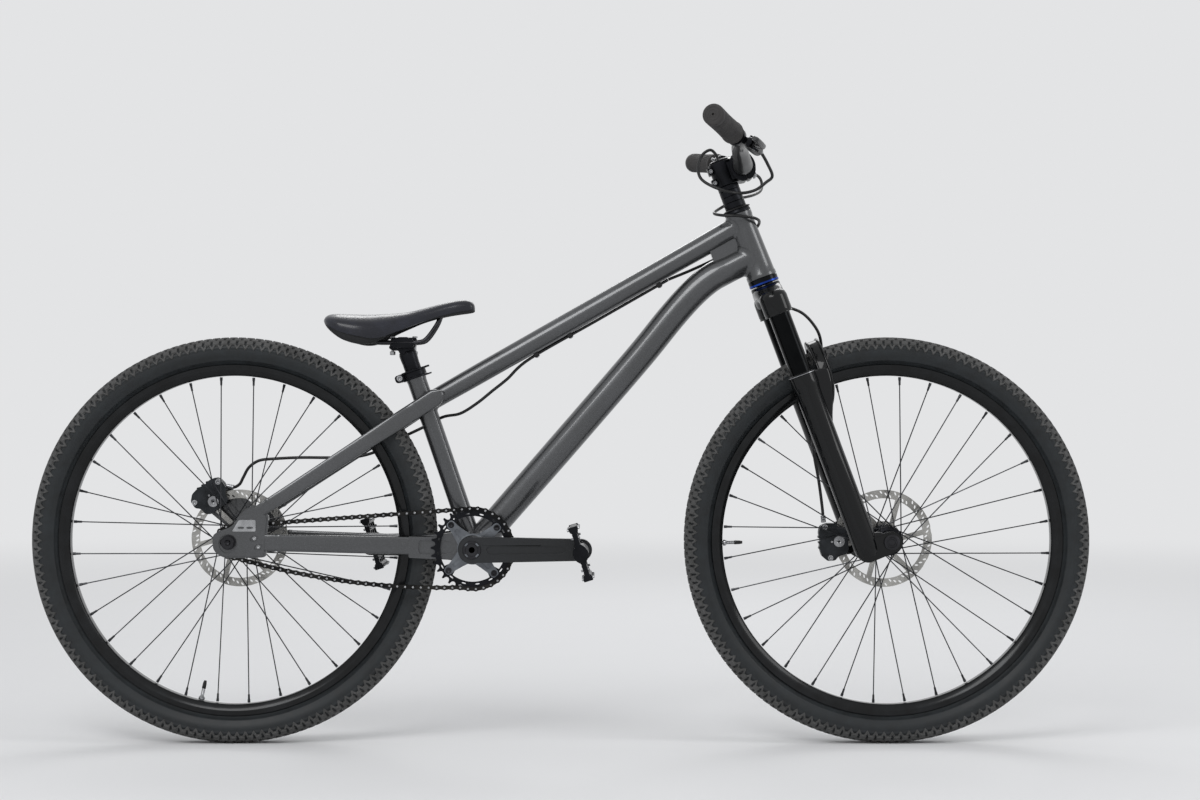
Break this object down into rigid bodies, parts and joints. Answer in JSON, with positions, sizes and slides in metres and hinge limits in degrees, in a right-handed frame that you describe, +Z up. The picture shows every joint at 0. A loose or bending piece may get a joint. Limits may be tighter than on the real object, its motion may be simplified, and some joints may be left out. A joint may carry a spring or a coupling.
{
  "type": "dirt jump bike",
  "caption": "Dirt jump bicycle with a sloping hardtail frame, suspension fork, low saddle, wide handlebar, disc brakes, single-speed chain drive and knobbly tyres.",
  "frame": {"origin": "on the ground under the bicycle, midway between the two wheel axles, in the bicycle's middle plane", "axes": "+X forward, +Y to the rider's left, +Z up"},
  "size_m": [1.722, 0.7568, 0.9964],
  "materials": {
    "frame_paint": "gloss graphite metallic paint",
    "black_paint": "gloss black paint",
    "black_alloy": "satin black anodised",
    "blue_alloy": "blue anodised",
    "bright_steel": "bright steel, lightly brushed",
    "dark_steel": "dark oiled steel",
    "tyre_rubber": "dusty dark rubber with knobs",
    "grip_rubber": "soft ribbed rubber",
    "saddle_cover": "smooth dark cover with a soft shine",
    "hose_plastic": "black hose"
  },
  "bodies": {
    "frame": {"head_tube": "frame_paint", "top_tube": "frame_paint", "down_tube": "frame_paint", "seat_tube": "frame_paint", "bottom_bracket_shell": "frame_paint", "chainstay_right": "frame_paint", "chainstay_left": "frame_paint", "seatstay_right": "frame_paint", "seatstay_left": "frame_paint", "rear_axle": "dark_steel", "bottom_bracket": "black_alloy", "seat_collar": "black_alloy", "headset_upper_cup": "black_alloy", "headset_lower_cup": "blue_alloy", "rear_brake_caliper": "black_alloy", "rear_brake_hose": "hose_plastic", "rear_brake_hose_loop": "hose_plastic", "chain": "dark_steel"},
    "seat": {"seatpost": "black_alloy", "saddle": "saddle_cover", "saddle_rails": "dark_steel", "saddle_clamp": "black_alloy"},
    "fork_upper": {"fork_crown": "black_paint", "headset_spacers": "black_alloy", "stem": "black_alloy", "stem_faceplate": "black_alloy", "stem_top_cap": "black_alloy", "handlebar": "black_paint", "grip_right": "grip_rubber", "grip_left": "grip_rubber", "brake_master_right": "black_alloy", "brake_master_left": "black_alloy", "front_brake_hose_upper": "hose_plastic"},
    "lever_right": {"brake_lever_right": "black_paint"},
    "lever_left": {"brake_lever_left": "black_paint"},
    "fork_lowers": {"fork_lowers": "black_paint", "front_axle": "dark_steel", "front_brake_caliper": "black_alloy", "front_brake_hose_lower": "hose_plastic"},
    "front_wheel": {"front_tyre": "tyre_rubber", "front_rim": "black_alloy", "front_hub": "black_alloy", "front_spokes_right": "dark_steel", "front_spokes_left": "dark_steel", "front_rotor": "bright_steel"},
    "rear_wheel": {"rear_tyre": "tyre_rubber", "rear_rim": "black_alloy", "rear_hub": "black_alloy", "rear_spokes_right": "dark_steel", "rear_spokes_left": "dark_steel", "rear_rotor": "bright_steel"},
    "cog": {"rear_cog": "bright_steel"},
    "crank": {"crank_right": "black_paint", "crank_left": "black_paint", "chainring": "black_alloy", "pedal_axle_right": "bright_steel", "pedal_axle_left": "bright_steel"},
    "pedal_right": {"pedal_right": "black_alloy"},
    "pedal_left": {"pedal_left": "black_alloy"}
  },
  "joints": [
    {"name": "steer", "type": "hinge", "parent": "frame", "child": "fork_upper", "pos_m": [0.32859, 0, 0.75716], "axis": [-0.3502, 0, 0.9367], "range_deg": [-90, 90], "deforming": ["rear_brake_hose_loop"]},
    {"name": "fork_travel", "type": "slide", "parent": "fork_upper", "child": "fork_lowers", "axis": [-0.3502, 0, 0.9367], "range_m": [0, 0.1], "stiffness_N_per_m": 6000, "springref_m": -0.01, "deforming": ["front_brake_hose_lower"]},
    {"name": "front_wheel_spin", "type": "hinge", "parent": "fork_lowers", "child": "front_wheel", "pos_m": [0.531, 0, 0.33], "axis": [0, 1, 0], "continuous": true},
    {"name": "rear_wheel_spin", "type": "hinge", "parent": "frame", "child": "rear_wheel", "pos_m": [-0.531, 0, 0.33], "axis": [0, 1, 0], "continuous": true},
    {"name": "crank_spin", "type": "hinge", "parent": "frame", "child": "crank", "pos_m": [-0.14118, 0, 0.318], "axis": [0, 1, 0], "continuous": true, "deforming": ["chain"]},
    {"name": "cog_spin", "type": "hinge", "parent": "frame", "child": "cog", "pos_m": [-0.531, 0, 0.33], "axis": [0, 1, 0], "continuous": true},
    {"name": "pedal_right_spin", "type": "hinge", "parent": "crank", "child": "pedal_right", "pos_m": [0.03382, -0.136, 0.318], "axis": [0, 1, 0], "continuous": true},
    {"name": "pedal_left_spin", "type": "hinge", "parent": "crank", "child": "pedal_left", "pos_m": [-0.31618, 0.136, 0.318], "axis": [0, 1, 0], "continuous": true},
    {"name": "brake_lever_right_pull", "type": "hinge", "parent": "fork_upper", "child": "lever_right", "pos_m": [0.3031, -0.25124, 0.94728], "axis": [-0.4763, 0.0379, -0.8785], "range_deg": [0, 15], "stiffness_Nm_per_rad": 2, "springref_deg": -2.86},
    {"name": "brake_lever_left_pull", "type": "hinge", "parent": "fork_upper", "child": "lever_left", "pos_m": [0.3031, 0.25124, 0.94728], "axis": [0.4763, 0.0379, 0.8785], "range_deg": [0, 15], "stiffness_Nm_per_rad": 2, "springref_deg": -2.86},
    {"name": "seatpost_height", "type": "slide", "parent": "frame", "child": "seat", "axis": [-0.3256, 0, 0.9455], "range_m": [-0.01, 0.12]}
  ],
  "couplings": [
    {"joint": "cog_spin", "follows": "crank_spin", "ratio": 2.6667}
  ]
}
